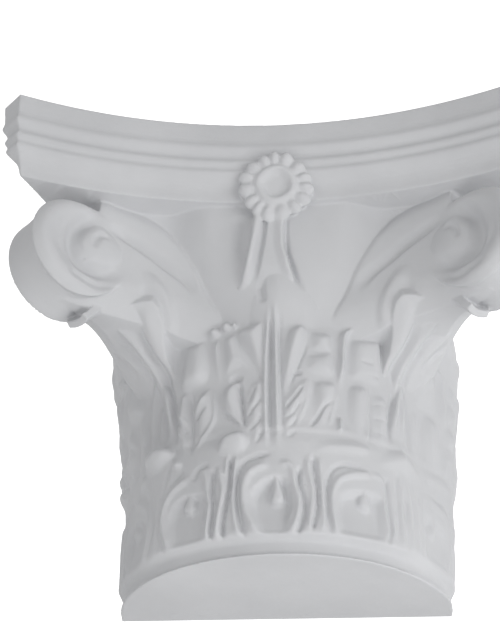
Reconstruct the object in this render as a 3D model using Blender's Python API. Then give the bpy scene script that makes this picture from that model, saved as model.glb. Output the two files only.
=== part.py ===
"""Half-round leaf capital for a wall, a corbel cast in plaster as one solid piece.

The frame is in metres with +Z up. The flat back is the plane y = 0 with the wall behind it at +y,
the front faces -y, and the origin is the centre of the flat back.
Inside the script heights are counted from the foot, and the finished piece is then set down by
half its height. Angles are counted in degrees round the vertical axis, 0 at the front.
"""
import math

import bmesh
import bpy
from mathutils import Vector

# Overall sizes
total_height = 0.322
foot_radius = 0.115

# Plain bell behind the leaves, and the web that carries it out to the slab's plan
bell_waist_radius = 0.1135
bell_waist_height = 0.092
bell_lip_radius = 0.131
bell_flare = 1.4
web_foot_height = 0.1750
web_inset = 0.0260
web_flare = 1.5

# Foot band under the leaves
band_height = 0.0095
band_fillet_height = 0.0030
band_fillet_depth = 0.0022
band_fillet_edge = 0.0012

# Slab with four hollowed sides, cut corners and a moulded edge
slab_height = 0.062
slab_middle_reach = 0.1530
slab_corner_reach = 0.1943
slab_corner_cut = 0.0143
slab_edge_inset = 0.0125
slab_least_cut = 0.0030

# Moulded edge from the top down, as shares of the edge's inset and of the slab's height
slab_profile = (
    (0.00, 0.00), (0.00, 0.29), (0.13, 0.325), (0.01, 0.37), (0.40, 0.455), (0.20, 0.56), (0.62, 0.665),
    (0.42, 0.75), (0.80, 0.83), (1.00, 0.91), (0.92, 1.00),
)

# Lower row: leaves with an arched niche and a hanging drop between each two of them
bays_per_quarter = 3
lower_leaf_rise = 0.0035
lower_leaf_edge = 0.0060
lower_tip_height = 0.0800
lower_tip_rise = 0.0085
lower_tip_span = 0.0100
lower_tip_half_angle = 7.5
leaf_groove_depth = 0.0022
leaf_groove_half_angle = 1.8
niche_depth = 0.0085
niche_foot_height = 0.0145
niche_foot_angle = 6.0
niche_belly_angle = 9.2
niche_belly_height = 0.0420
niche_crown_height = 0.0660
niche_crown_share = 0.35
niche_edge = 0.0030
niche_wall_angle = 1.8
niche_rim_rise = 0.0020
niche_rim_offset_angle = 1.2
niche_rim_half_angle = 2.2
drop_rise = 0.0045
drop_half_angle = 2.6
drop_foot_height = 0.0345
drop_bulb_height = 0.0100
drop_bulb_share = 1.5
drop_lap = 0.0040

# Upper row on the bell: a notched middle leaf with a double midrib
upper_leaf_rise = 0.0065
upper_foot_height = 0.0830
upper_notch_height = 0.1265
upper_top_height = 0.1680
upper_crest_drop = 0.0080
upper_leaf_edge = 0.0060
upper_foot_half_angle = 7.0
upper_notch_half_angle = 11.0
upper_side_angle = 1.5
tall_lobe_foot_angle = 4.5
tall_lobe_top_angle = 8.0
tall_lobe_foot_half_angle = 2.6
tall_lobe_top_half_angle = 4.2
midrib_rise = 0.0040
midrib_top_height = 0.1780
midrib_edge = 0.0080
midrib_ridge_angle = 2.0
midrib_ridge_half_angle = 1.7
midrib_taper = 0.35

# Lobes of the leaves behind the middle one: angle, half angle, foot height, top height
back_lobes = (
    (14.5, 4.6, 0.131, 0.158),
    (30.5, 5.6, 0.127, 0.162),
    (15.5, 4.8, 0.098, 0.123),
    (28.0, 4.6, 0.086, 0.120),
    (36.0, 3.4, 0.108, 0.125),
    (75.0, 8.0, 0.100, 0.150),
    (90.0, 5.0, 0.086, 0.165),
)
side_swell_rise = 0.0075
side_swell_from_angle = 62.0
side_swell_over_angle = 18.0
side_swell_foot_height = 0.094
side_swell_top_height = 0.170
back_lobe_share = 0.85
back_lobe_side_angle = 2.5
upright_rib_share = 0.9
upright_rib_angle = 22.0
upright_rib_half_angle = 2.6
upright_rib_foot_height = 0.096

# Corner leaves, which stand in the diagonal planes
corner_leaf_tip_reach = 0.1700
corner_leaf_tip_height = 0.1800
corner_leaf_lip_reach = 0.0190
corner_leaf_lip_drop = 0.0180
corner_leaf_half_width = 0.0300
corner_leaf_body = 0.0140
corner_leaf_tip_body_share = 0.38
corner_leaf_rib_rise = 0.0045
corner_leaf_curl = 0.30
corner_leaf_lobes = 3.5
corner_leaf_lobe_share = 0.10
corner_leaf_tip_narrowing = 0.45
corner_leaf_sink = 0.0046

# Scrolls under the slab's corners
scroll_reach = 0.2070
scroll_height = 0.2116
scroll_eye_back = 0.0050
scroll_eye_lift = 0.0035
scroll_radius = 0.0280
scroll_last_radius = 0.0080
scroll_band_half_width = 0.0104
scroll_last_half_width = 0.0030
scroll_turns = 1.20
scroll_half_thickness = 0.0184
scroll_channel_share = 0.10
scroll_rim_place = 0.72
scroll_rim_edge_share = 0.16
scroll_web_half_thickness = 0.0140
scroll_eye_radius = 0.0065
scroll_eye_inset = 0.0010
scroll_eye_crown = 0.0030
scroll_eye_crown_share = 0.45
stalk_foot_height = 0.1780
stalk_foot_proud = 0.0040
stalk_half_width = 0.0175
stalk_half_thickness = 0.0440
cheek_root_reach = 0.1100
cheek_root_low = 0.1760
cheek_root_high = 0.2300
cheek_root_half_thickness = 0.0280
cheek_low = 0.1880
cheek_high = 0.2300

# Daisy on the slab's front, as shares of its radius and depth from the middle out, and its tail
daisy_radius = 0.0290
daisy_height = 0.2575
daisy_stand = 0.0080
daisy_depth = 0.0260
daisy_petals = 15
daisy_profile = ((0.26, 0.12), (0.40, 0.26), (0.52, 0.14), (0.80, 0.22), (1.0, 0.06))
daisy_petals_from = 0.6
daisy_notch_share = 0.90
daisy_valley_share = 0.2
daisy_root_share = 0.50
tail_top_half_width = 0.0100
tail_foot_half_width = 0.0190
tail_foot_height = 0.1860
tail_top_height = 0.2450
tail_top_rise = 0.0150
tail_foot_rise = 0.0030
tail_hollow = 0.0070
tail_sink = 0.0040
tail_root = 0.0120

# Fineness of the facets
columns_per_half_bay = 7
niche_column_share = 0.56
front_column_crowding = 1.25
column_shift_height = 0.0220
row_step_leaves = 0.0076
row_step_bell = 0.0150
tail_rings = 6
slab_front_steps = 18
slab_side_steps = 7
scroll_steps_per_turn = 16
scroll_disc_steps = 20
scroll_eye_steps = 12
stalk_steps = 3
corner_leaf_steps = 3
corner_leaf_across_steps = 4
daisy_steps_per_petal = 3
sharp_edge_angle = 35.0

# Plaster
plaster_colour = (0.80, 0.80, 0.81, 1.0)
plaster_roughness = 0.85

node_name = "corbel"
overlap = 0.0020
quarter_turn = 90.0
diagonal_angle = 45.0


def ease(share):
    """Smooth step from 0 to 1."""
    share = min(max(share, 0.0), 1.0)
    return share * share * (3.0 - 2.0 * share)


def mix(first, second, share):
    return first + (second - first) * share


def swell(distance, half_width):
    """Round ridge profile: 1 on the crest and 0 beyond its half width."""
    if abs(distance) >= half_width:
        return 0.0
    return 0.5 + 0.5 * math.cos(math.pi * distance / half_width)


def window(value, low, high, edge):
    """1 between low and high, easing to 0 over the edge outside them."""
    return ease((value - low) / edge + 1.0) * ease((high - value) / edge + 1.0)


def even_steps(low, high, step):
    """Heights from low to high, both included, about a step apart."""
    count = max(round((high - low) / step), 1)
    return [mix(low, high, index / count) for index in range(count + 1)]


def smooth_path(points, steps):
    """Points along a smooth curve through the given points, steps to each stretch."""
    ends = [2 * points[0] - points[1]] + list(points) + [2 * points[-1] - points[-2]]
    path = []
    for index in range(len(points) - 1):
        before, start, end, after = ends[index:index + 4]
        for step in range(steps):
            share = step / steps
            path.append(0.5 * (2 * start + (end - before) * share
                               + (2 * before - 5 * start + 4 * end - after) * share ** 2
                               + (3 * start - before - 3 * end + after) * share ** 3))
    path.append(points[-1].copy())
    return path


def direction_along(line, index):
    """Direction of a line at one of its points."""
    return (line[min(index + 1, len(line) - 1)] - line[max(index - 1, 0)]).normalized()


def mesh_object(name, points, faces):
    """Closed mesh from points and faces, with its faces turned outwards."""
    mesh = bpy.data.meshes.new(name)
    mesh.from_pydata([tuple(point) for point in points], [], faces)
    work = bmesh.new()
    work.from_mesh(mesh)
    bmesh.ops.recalc_face_normals(work, faces=work.faces)
    work.to_mesh(mesh)
    work.free()
    made = bpy.data.objects.new(name, mesh)
    bpy.context.collection.objects.link(made)
    return made


def lofted_object(name, rings):
    """Closed skin through rings that all have the same number of points."""
    count = len(rings[0])
    points = [point for ring in rings for point in ring]
    faces = []
    for row in range(len(rings) - 1):
        for index in range(count):
            following = (index + 1) % count
            low = row * count
            high = low + count
            faces.append((low + index, low + following, high + following, high + index))
    faces.append(tuple(range(count)))
    faces.append(tuple(range(len(points) - count, len(points))))
    return mesh_object(name, points, faces)


def walled_object(name, rows):
    """Closed solid whose open rows run from wall to wall, with a flat foot, top and back."""
    count = len(rows[0])
    points = [point for row in rows for point in row]
    faces = []
    for row in range(len(rows) - 1):
        for column in range(count - 1):
            start = row * count + column
            faces.append((start, start + 1, start + count + 1, start + count))
    last = (len(rows) - 1) * count
    faces.append(tuple(range(count)))
    faces.append(tuple(range(last, last + count)))
    first_edge = [row * count for row in range(len(rows))]
    final_edge = [row * count + count - 1 for row in range(len(rows))]
    faces.append(tuple(first_edge + final_edge[::-1]))
    return mesh_object(name, points, faces)


def round_point(angle, radius, height):
    """Point at an angle round the axis, at a radius and a height."""
    turn = math.radians(angle)
    return Vector((radius * math.sin(turn), -radius * math.cos(turn), height))


def diagonal_point(side, reach, sideways, height):
    """Point of a corner's vertical plane; sideways runs towards the front middle."""
    outward = Vector((side, -1.0, 0.0)).normalized()
    across = Vector((-side, -1.0, 0.0)).normalized()
    return outward * reach + across * sideways + Vector((0.0, 0.0, height))


# Plan of the slab, which the top of the bell follows

slab_underside = total_height - slab_height
slab_half_chord = slab_corner_reach - slab_corner_cut
slab_sagitta = slab_corner_reach - slab_middle_reach
slab_side_radius = (slab_half_chord ** 2 + slab_sagitta ** 2) / (2.0 * slab_sagitta)
slab_side_centre = slab_middle_reach + slab_side_radius


def plan_radius(angle, inset):
    """Distance from the axis to the slab's hollowed side moved in by the inset, at an angle."""
    turn = math.radians(min(abs(angle), quarter_turn - abs(angle)))
    radius = slab_side_radius + inset
    beside = slab_side_centre * math.sin(turn)
    return slab_side_centre * math.cos(turn) - math.sqrt(radius ** 2 - beside ** 2)


# Bell with the two rows of leaves

bay_angle = quarter_turn / bays_per_quarter


def bell_radius(angle, height):
    """Plain bell: round, nearly straight up to its waist, and spread to the slab's plan above."""
    if height < bell_waist_height:
        return mix(foot_radius, bell_waist_radius, ease(height / bell_waist_height))
    share = (height - bell_waist_height) / (slab_underside - bell_waist_height)
    radius = mix(bell_waist_radius, bell_lip_radius, share ** bell_flare)
    spread = max(height - web_foot_height, 0.0) / (slab_underside - web_foot_height)
    return mix(radius, plan_radius(angle, web_inset), spread ** web_flare)


def niche_angle(height):
    """Half angle of a niche: pinched at the foot, round at the crown."""
    if height < niche_belly_height:
        share = (height - band_height) / (niche_belly_height - band_height)
        return mix(niche_foot_angle, niche_belly_angle, ease(share))
    share = (height - niche_belly_height) / (niche_crown_height - niche_belly_height)
    return niche_belly_angle * math.sqrt(max(1.0 - share ** 2, niche_crown_share ** 2))


def lower_leaf(from_leaf, height):
    """Rise of a leaf of the lower row, with its groove and its curled tip."""
    foot = band_height + band_fillet_height
    rise = lower_leaf_rise * window(height, foot, lower_tip_height, lower_leaf_edge)
    above_tip = height - lower_tip_height
    tip_span = lower_tip_span if above_tip > 0.0 else 2.0 * lower_tip_span
    rise += lower_tip_rise * swell(from_leaf, lower_tip_half_angle) * swell(above_tip, tip_span)
    groove = window(height, foot, lower_tip_height - lower_tip_span, lower_leaf_edge)
    return rise - leaf_groove_depth * swell(from_leaf, leaf_groove_half_angle) * groove


def lower_relief(angle, height):
    """Rise of the lower row over the bell: leaves, and niches with their rims and drops."""
    offset = abs(angle - bay_angle * math.floor(angle / bay_angle + 0.5))
    leaf = lower_leaf(0.5 * bay_angle - offset, height)
    edge = niche_angle(height)
    inside = window(height, niche_foot_height, niche_crown_height, niche_edge)
    rim = niche_rim_rise * swell(offset - edge - niche_rim_offset_angle, niche_rim_half_angle) * inside
    recess = niche_depth * ease((edge - offset) / niche_wall_angle) * inside
    hanging = window(height, drop_foot_height, niche_crown_height + drop_lap, niche_edge)
    bulb = mix(drop_bulb_share, 1.0, ease((height - drop_foot_height) / drop_bulb_height))
    drop = drop_rise * swell(offset, drop_half_angle) * hanging * bulb
    return leaf + rim - recess + drop


def middle_leaf(turn, height):
    """Rise of the middle leaf: broad below its notch, two tall lobes that lean outwards above."""
    below = (height - upper_foot_height) / (upper_notch_height - upper_foot_height)
    side = mix(upper_foot_half_angle, upper_notch_half_angle, below)
    broad = window(height, upper_foot_height, upper_notch_height, upper_leaf_edge)
    broad *= ease((side - turn) / upper_side_angle + 1.0)
    lean = (height - upper_notch_height) / (upper_top_height - upper_notch_height)
    tall = window(height, upper_notch_height, upper_top_height - upper_crest_drop, upper_leaf_edge)
    tall *= swell(turn - mix(tall_lobe_foot_angle, tall_lobe_top_angle, lean),
                  mix(tall_lobe_foot_half_angle, tall_lobe_top_half_angle, lean))
    return upper_leaf_rise * max(broad, tall)


def upper_relief(angle, height):
    """Rise of the middle leaf, of the lobes beside it and of its midrib over the bell."""
    turn = abs(angle)
    rise = middle_leaf(turn, height)
    for lobe_angle, half_angle, low, high in back_lobes:
        lobe = window(height, low, high, upper_leaf_edge)
        lobe *= ease((half_angle - abs(turn - lobe_angle)) / back_lobe_side_angle)
        rise = max(rise, back_lobe_share * upper_leaf_rise * lobe)
    upright = window(height, upright_rib_foot_height, upper_top_height, upper_leaf_edge)
    upright *= swell(turn - upright_rib_angle, upright_rib_half_angle)
    rise = max(rise, upright_rib_share * upper_leaf_rise * upright)
    side = ease((turn - side_swell_from_angle) / side_swell_over_angle)
    side *= window(height, side_swell_foot_height, side_swell_top_height, upper_leaf_edge)
    rise += side_swell_rise * side
    climb = (height - upper_foot_height) / (midrib_top_height - upper_foot_height)
    ridge_angle = midrib_ridge_angle * (1.0 - midrib_taper * ease(climb))
    midrib = swell(turn - ridge_angle, midrib_ridge_half_angle)
    midrib *= window(height, upper_foot_height - upper_leaf_edge, midrib_top_height, midrib_edge)
    return rise + midrib_rise * midrib


def body_radius(angle, height):
    """Radius of the carved bell at an angle and a height."""
    band_top = band_height + band_fillet_height
    radius = bell_radius(angle, height)
    radius -= band_fillet_depth * window(height, band_height, band_top, band_fillet_edge)
    radius += lower_relief(angle, height)
    radius += upper_relief(angle, height)
    return radius


def column_angle(place, height):
    """Angle of a column of facets. Its place counts bays from the front, niches at whole numbers.

    Below, the columns follow the niches' edges; above, they spread evenly and closer at the front.
    """
    niche = math.floor(place + 0.5)
    share = 2.0 * abs(place - niche)
    edge = niche_angle(height)
    if share < niche_column_share:
        offset = edge * share / niche_column_share
    else:
        beyond = (share - niche_column_share) / (1.0 - niche_column_share)
        offset = mix(edge, 0.5 * bay_angle, beyond)
    lower = niche * bay_angle + math.copysign(offset, place - niche)
    upper = quarter_turn * (place / bays_per_quarter) ** front_column_crowding
    return mix(lower, upper, ease((height - lower_tip_height) / column_shift_height))


def carved_bell():
    """Bell, foot band and both rows of leaves, closed by the flat back."""
    heights = [0.0, 0.5 * band_height, band_height]
    heights += even_steps(band_height + band_fillet_height, midrib_top_height, row_step_leaves)
    heights += even_steps(midrib_top_height, slab_underside + overlap, row_step_bell)[1:]
    columns_per_bay = 2 * columns_per_half_bay
    columns = columns_per_bay * bays_per_quarter
    rows = []
    for height in heights:
        row = []
        for column in range(-columns, columns + 1):
            angle = math.copysign(column_angle(abs(column) / columns_per_bay, height), column)
            row.append(round_point(angle, body_radius(angle, height), height))
        row[0].y = 0.0
        row[-1].y = 0.0
        rows.append(row)
    return walled_object("bell", rows)


# Slab

def slab_outline(inset):
    """Plan of the slab, moved in by the inset, from the wall on the right round to the left."""
    radius = slab_side_radius + inset
    diagonal = math.sqrt(2.0)
    half_corner = math.radians(diagonal_angle)
    cut = slab_half_chord + slab_corner_reach - diagonal * inset
    meeting_sine = slab_side_centre / (diagonal * radius)
    if meeting_sine < 1.0:
        # The cut corner keeps a small face where the hollowed sides would already meet
        meeting = math.asin(meeting_sine) - half_corner
        cut = min(cut, 2.0 * radius * math.sin(meeting) - slab_least_cut)
    reach = half_corner + math.asin((cut - slab_side_centre) / (diagonal * radius))

    def place(turn):
        return radius * math.sin(turn), slab_side_centre - radius * math.cos(turn)

    right = []
    for step in range(slab_side_steps + 1):
        along, out = place(reach * step / slab_side_steps)
        right.append(Vector((out, -along, 0.0)))
    front = []
    for step in range(slab_front_steps + 1):
        along, out = place(mix(reach, -reach, step / slab_front_steps))
        front.append(Vector((along, -out, 0.0)))
    left = [Vector((-point.x, point.y, 0.0)) for point in reversed(right)]
    return right + front + left


def moulded_slab():
    rows = []
    for inset, depth in slab_profile:
        height = Vector((0.0, 0.0, total_height - slab_height * depth))
        rows.append([point + height for point in slab_outline(inset * slab_edge_inset)])
    return walled_object("slab", rows)


# Scrolls

def scroll_stalk():
    """Middle line of the stalk in the scroll's plane, up to the top of the scroll."""
    top = Vector((scroll_reach, scroll_height + scroll_radius))
    foot = Vector((foot_radius + stalk_foot_proud, stalk_foot_height))
    knee = Vector((mix(foot.x, top.x, 0.10), mix(foot.y, top.y, 0.45)))
    neck = Vector((mix(foot.x, top.x, 0.42), mix(foot.y, top.y, 0.90)))
    return smooth_path([foot, knee, neck, top], stalk_steps)[:-1]


def scroll_eye_place():
    """Centre of the eye in the scroll's plane, a little behind and above the scroll's own."""
    return Vector((scroll_reach - scroll_eye_back, scroll_height + scroll_eye_lift))


def scroll_spiral():
    """Middle line of the rolled band, from the scroll's top inwards, with its half widths."""
    centre = Vector((scroll_reach, scroll_height))
    eye = scroll_eye_place()
    steps = round(scroll_steps_per_turn * scroll_turns)
    spiral = []
    for step in range(steps + 1):
        share = step / steps
        turn = math.radians(quarter_turn) - 2.0 * math.pi * scroll_turns * share
        radius = mix(scroll_radius, scroll_last_radius, ease((share - 0.17) / 0.62))
        width = mix(scroll_band_half_width, scroll_last_half_width, ease((share - 0.25) / 0.50))
        middle = mix(centre, eye, ease(share))
        spiral.append((middle + radius * Vector((math.cos(turn), math.sin(turn))), width))
    return spiral


def scroll_section(channel):
    """Half section of the band from edge to edge, as shares of its width and thickness."""
    edge = 1.0 - scroll_rim_edge_share
    half = [(-1.0, edge), (-scroll_rim_place, 1.0), (0.0, 1.0 - channel), (scroll_rim_place, 1.0)]
    half.append((1.0, edge))
    return half + [(radial, -sideways) for radial, sideways in half[::-1]]


def scroll_band(side):
    """Band that rises from the bell as a stalk and rolls up into the scroll."""
    stalk = scroll_stalk()
    spiral = scroll_spiral()
    line = stalk + [place for place, width in spiral]
    rings = []
    for index, place in enumerate(line):
        along = direction_along(line, index)
        outward = Vector((-along.y, along.x))
        share = min(index / len(stalk), 1.0)
        thickness = mix(stalk_half_thickness, scroll_half_thickness, ease(share))
        width = mix(stalk_half_width, scroll_band_half_width, share)
        if index >= len(stalk):
            width = spiral[index - len(stalk)][1]
        points = []
        for radial, sideways in scroll_section(scroll_channel_share * share):
            spot = place + outward * radial * width
            points.append(diagonal_point(side, spot.x, sideways * thickness, spot.y))
        rings.append(points)
    return lofted_object("scroll band", rings)


def scroll_disc(side, centre, sections, steps):
    """Round disc across a scroll; each section is a place sideways and a radius."""
    rings = []
    for sideways, radius in sections:
        ring = []
        for step in range(steps):
            turn = 2.0 * math.pi * step / steps
            ring.append(diagonal_point(side, centre[0] + radius * math.cos(turn), sideways,
                                       centre[1] + radius * math.sin(turn)))
        rings.append(ring)
    return lofted_object("scroll disc", rings)


def scroll_core(side):
    """Plain disc that fills the scroll between its two faces."""
    sections = [(-scroll_web_half_thickness, scroll_radius), (scroll_web_half_thickness, scroll_radius)]
    return scroll_disc(side, (scroll_reach, scroll_height), sections, scroll_disc_steps)


def scroll_cheek(side):
    """Solid cheek that fills the corner between the stalk, the scroll and the bell."""
    sections = [(cheek_root_reach, cheek_root_low, cheek_root_high, cheek_root_half_thickness),
                (scroll_reach, cheek_low, cheek_high, scroll_web_half_thickness - overlap)]
    rings = []
    for reach, low, high, half in sections:
        corners = [(-half, low), (half, low), (half, high), (-half, high)]
        rings.append([diagonal_point(side, reach, sideways, height) for sideways, height in corners])
    return lofted_object("scroll cheek", rings)


def scroll_eye(side):
    """Eye of the scroll, domed on both faces."""
    face = scroll_half_thickness - scroll_eye_inset
    small = scroll_eye_radius * scroll_eye_crown_share
    sections = [(-face - scroll_eye_crown, small), (-face, scroll_eye_radius),
                (face, scroll_eye_radius), (face + scroll_eye_crown, small)]
    return scroll_disc(side, scroll_eye_place(), sections, scroll_eye_steps)


# Corner leaves

def corner_leaf_line():
    """Spine of the leaf: up the bell, out to the tip, and over into the hanging lip."""
    foot = Vector((foot_radius - corner_leaf_sink, lower_tip_height + 0.5 * lower_leaf_edge))
    tip = Vector((corner_leaf_tip_reach, corner_leaf_tip_height))
    knee = Vector((mix(foot.x, tip.x, 0.09), mix(foot.y, tip.y, 0.50)))
    bend = Vector((mix(foot.x, tip.x, 0.53), mix(foot.y, tip.y, 0.83)))
    lip = tip + Vector((corner_leaf_lip_reach, -corner_leaf_lip_drop))
    return smooth_path([foot, knee, bend, tip, lip], corner_leaf_steps)


def corner_leaf_width(share):
    """Half width along the spine: full in the middle, scalloped into lobes, narrower at the lip."""
    width = corner_leaf_half_width * (0.62 + 0.55 * math.sin(math.pi * share ** 0.9))
    width *= 1.0 - corner_leaf_lobe_share * math.cos(2.0 * math.pi * corner_leaf_lobes * share)
    return width * (1.0 - corner_leaf_tip_narrowing * ease((share - 0.80) / 0.20))


def corner_leaf(side):
    """Leaf in a corner's diagonal plane: it leans out and its tip turns over under the scroll."""
    line = corner_leaf_line()
    rings = []
    for index, place in enumerate(line):
        share = index / (len(line) - 1)
        along = direction_along(line, index)
        outward = Vector((along.y, -along.x))
        width = corner_leaf_width(share)
        body = corner_leaf_body * mix(1.0, corner_leaf_tip_body_share, ease((share - 0.45) / 0.5))
        ring = []
        for step in range(-corner_leaf_across_steps, corner_leaf_across_steps + 1):
            part = step / corner_leaf_across_steps
            fall = corner_leaf_curl * width * part ** 2
            rib = corner_leaf_rib_rise * (swell(part, 0.22) + 0.7 * swell(abs(part) - 0.72, 0.30))
            spot = place + outward * (rib - fall)
            ring.append(diagonal_point(side, spot.x, part * width, spot.y))
        for part in (0.85, 0.0, -0.85):
            spot = place - outward * (body + corner_leaf_curl * width * part ** 2)
            ring.append(diagonal_point(side, spot.x, part * width, spot.y))
        rings.append(ring)
    return lofted_object("corner leaf", rings)


# Daisy

def daisy_ring(share, reach, lift, petalled):
    """One closed ring of the daisy at a share of its radius, lifted off a reach from the wall."""
    steps = daisy_petals * daisy_steps_per_petal
    ring = []
    for step in range(steps):
        turn = 2.0 * math.pi * step / steps
        petal = 0.5 + 0.5 * math.cos(daisy_petals * turn) if petalled else 1.0
        radius = daisy_radius * share * mix(daisy_notch_share, 1.0, petal)
        out = reach + lift * mix(daisy_valley_share, 1.0, petal)
        ring.append(Vector((radius * math.sin(turn), -out, daisy_height + radius * math.cos(turn))))
    return ring


def daisy():
    """Daisy with rounded petals round a raised ring and a hollow middle, rooted in the bell's top."""
    face = slab_middle_reach + daisy_stand
    rings = [daisy_ring(share, face, daisy_depth * rise, share > daisy_petals_from)
             for share, rise in daisy_profile]
    rings.append(daisy_ring(daisy_root_share, slab_middle_reach - web_inset - overlap, 0.0, False))
    return lofted_object("daisy", rings)


def daisy_tail():
    """Tail under the daisy: two slender ridges that part downwards with a hollow between them."""
    rings = []
    for index in range(tail_rings):
        share = index / (tail_rings - 1)
        height = mix(tail_top_height, tail_foot_height, share)
        half_width = mix(tail_top_half_width, tail_foot_half_width, share ** 1.4)
        rise = mix(tail_top_rise, tail_foot_rise, share ** 0.8)
        hollow = rise - tail_hollow * mix(1.0, 0.5, share)
        surface = bell_radius(0.0, height)
        half = [(-1.0, -tail_sink), (-0.84, rise), (-0.55, hollow)]
        section = half + [(0.0, hollow)] + [(-across, out) for across, out in half[::-1]]
        section.append((0.0, -tail_root))
        rings.append([Vector((across * half_width, -surface - out, height)) for across, out in section])
    return lofted_object("daisy tail", rings)


# Putting the casting together

def fuse(base, other):
    """Joins a second closed shape into the first, and removes the second."""
    joiner = base.modifiers.new("join", "BOOLEAN")
    joiner.operation = "UNION"
    joiner.solver = "EXACT"
    joiner.object = other
    depsgraph = bpy.context.evaluated_depsgraph_get()
    joined = bpy.data.meshes.new_from_object(base.evaluated_get(depsgraph))
    base.modifiers.remove(joiner)
    base.data = joined
    bpy.data.objects.remove(other, do_unlink=True)


def connected_faces(start):
    """All faces that hang together with the first one by their edges."""
    found = {start}
    waiting = [start]
    while waiting:
        face = waiting.pop()
        for edge in face.edges:
            for neighbour in edge.link_faces:
                if neighbour not in found:
                    found.add(neighbour)
                    waiting.append(neighbour)
    return found


def signed_volume(faces):
    """Volume inside a closed skin, negative where the skin faces inwards."""
    volume = 0.0
    for face in faces:
        first = face.verts[0].co
        for second, third in zip(face.verts[1:-1], face.verts[2:]):
            volume += first.dot(second.co.cross(third.co)) / 6.0
    return volume


def fill_pockets(casting):
    """Fills the small sealed pockets between the joined shapes, since the casting is solid."""
    work = bmesh.new()
    work.from_mesh(casting.data)
    unseen = set(work.faces)
    pockets = []
    while unseen:
        skin = connected_faces(next(iter(unseen)))
        unseen -= skin
        if signed_volume(skin) < 0.0:
            pockets.extend(skin)
    bmesh.ops.delete(work, geom=pockets, context="FACES")
    work.to_mesh(casting.data)
    work.free()


def plaster():
    """White plaster, matt."""
    material = bpy.data.materials.new("plaster")
    material.use_nodes = True
    shader = material.node_tree.nodes["Principled BSDF"]
    shader.inputs["Base Color"].default_value = plaster_colour
    shader.inputs["Roughness"].default_value = plaster_roughness
    shader.inputs["Metallic"].default_value = 0.0
    return material


def build():
    for old in list(bpy.data.objects):
        bpy.data.objects.remove(old, do_unlink=True)
    casting = carved_bell()
    pieces = [moulded_slab()]
    for side in (-1.0, 1.0):
        pieces += [corner_leaf(side), scroll_cheek(side), scroll_core(side)]
        pieces += [scroll_band(side), scroll_eye(side)]
    pieces += [daisy_tail(), daisy()]
    for piece in pieces:
        fuse(casting, piece)
    fill_pockets(casting)
    casting.name = node_name
    casting.data.name = node_name
    casting.location = (0.0, 0.0, -0.5 * total_height)
    casting.data.materials.clear()
    casting.data.materials.append(plaster())
    casting.data.shade_smooth()
    casting.data.set_sharp_from_angle(angle=math.radians(sharp_edge_angle))


build()
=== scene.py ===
"""Half-round leaf capital for a wall: the casting's carved surface, its plaster, and a small studio.

Sizes are in metres and angles in degrees round the vertical axis, 0 at the front. In the tables of
carving a place is (angle, height), and every other length is in thousandths of the foot's diameter,
heights from the foot, so the carving follows the casting's size.
"""
import math

import bmesh
import bpy
import numpy as np
from mathutils import Matrix, Vector


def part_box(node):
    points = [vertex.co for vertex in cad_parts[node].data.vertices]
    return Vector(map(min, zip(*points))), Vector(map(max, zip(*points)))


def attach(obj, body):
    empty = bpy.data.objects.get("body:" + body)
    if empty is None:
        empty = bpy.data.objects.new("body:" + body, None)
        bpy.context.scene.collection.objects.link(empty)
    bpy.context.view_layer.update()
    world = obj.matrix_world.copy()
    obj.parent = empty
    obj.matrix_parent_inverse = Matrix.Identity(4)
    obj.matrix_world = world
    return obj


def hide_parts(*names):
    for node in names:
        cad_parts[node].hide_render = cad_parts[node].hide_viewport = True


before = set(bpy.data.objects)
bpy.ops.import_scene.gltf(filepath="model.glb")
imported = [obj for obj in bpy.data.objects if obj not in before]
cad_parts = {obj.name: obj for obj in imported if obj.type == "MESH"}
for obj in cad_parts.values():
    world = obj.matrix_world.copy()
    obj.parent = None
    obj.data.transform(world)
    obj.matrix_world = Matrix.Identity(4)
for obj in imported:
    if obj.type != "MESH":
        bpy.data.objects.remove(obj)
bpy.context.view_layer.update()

low_corner, high_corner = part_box("corbel")

# What the tables count in: thousandths of a foot diameter, hundredths, and tenths of a millimetre
diameter_parts = 1000.0
hundredths = 100.0
metre_parts = 10000.0

# Sizes of the casting, in metres
foot_diameter = 0.230
total_height = high_corner.z - low_corner.z
foot_level = low_corner.z
slab_height = 0.062
slab_middle_reach = 0.1530
slab_corner_reach = high_corner.x
slab_corner_cut = 0.0143
slab_least_cut = 0.0030
slab_underside = total_height - slab_height

# Bell, in metres
foot_radius = 0.5 * foot_diameter
bell_waist_radius = 0.1135
bell_waist_height = 0.092
bell_lip_radius = 0.131
bell_flare = 1.4
web_foot_height = 0.1750
web_inset = 0.0185
web_corner_inset = 0.0330
web_corner_from = 18.0
web_corner_over = 16.0
web_flare = 1.5

# Fuller sides beyond the corners, in tenths of a millimetre: height, swelling on the left, on the right
side_swellings = (
    (60, 7, 30), (200, -20, 15), (400, -10, 40), (600, -14, 55), (800, -10, 75), (920, 0, 103),
    (1000, 40, 120), (1100, 10, 105), (1200, 30, 112), (1320, 45, 112), (1420, 40, 107), (1500, 30, 100),
    (1600, 26, 106), (1700, 50, 120), (1780, 70, 120), (1860, 65, 110), (1960, 70, 120), (2040, 60, 95),
    (2120, 0, 30),
)
side_heights, left_swelling, right_swelling = np.array(side_swellings).T / metre_parts
swelling_from_angle = 56.0
swelling_over_angle = 20.0

# Overlaps and fineness of the surface, in metres
wall_lap = 0.006
overlap = 0.002
voxel = 0.0009
most_triangles = 190000

# Canvas of the carving, in foot diameters and degrees
canvas_step = 0.0034
canvas_angle_step = 0.30
canvas_margin_angle = 2.0
diagonal_angle = 45.0
quarter_turn = 90.0
carving_radius = 0.53
degree_length = math.radians(carving_radius)

# Tapers of a stroke as shares of its length, how blunt its ends are, and the power of a pit's side
stroke_tapers = (0.25, 0.25)
blunt_end = 0.15
pit_power = 1.5

# Least square of a step's length, so that nothing is divided by nought
least_square = 1e-12


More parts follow.
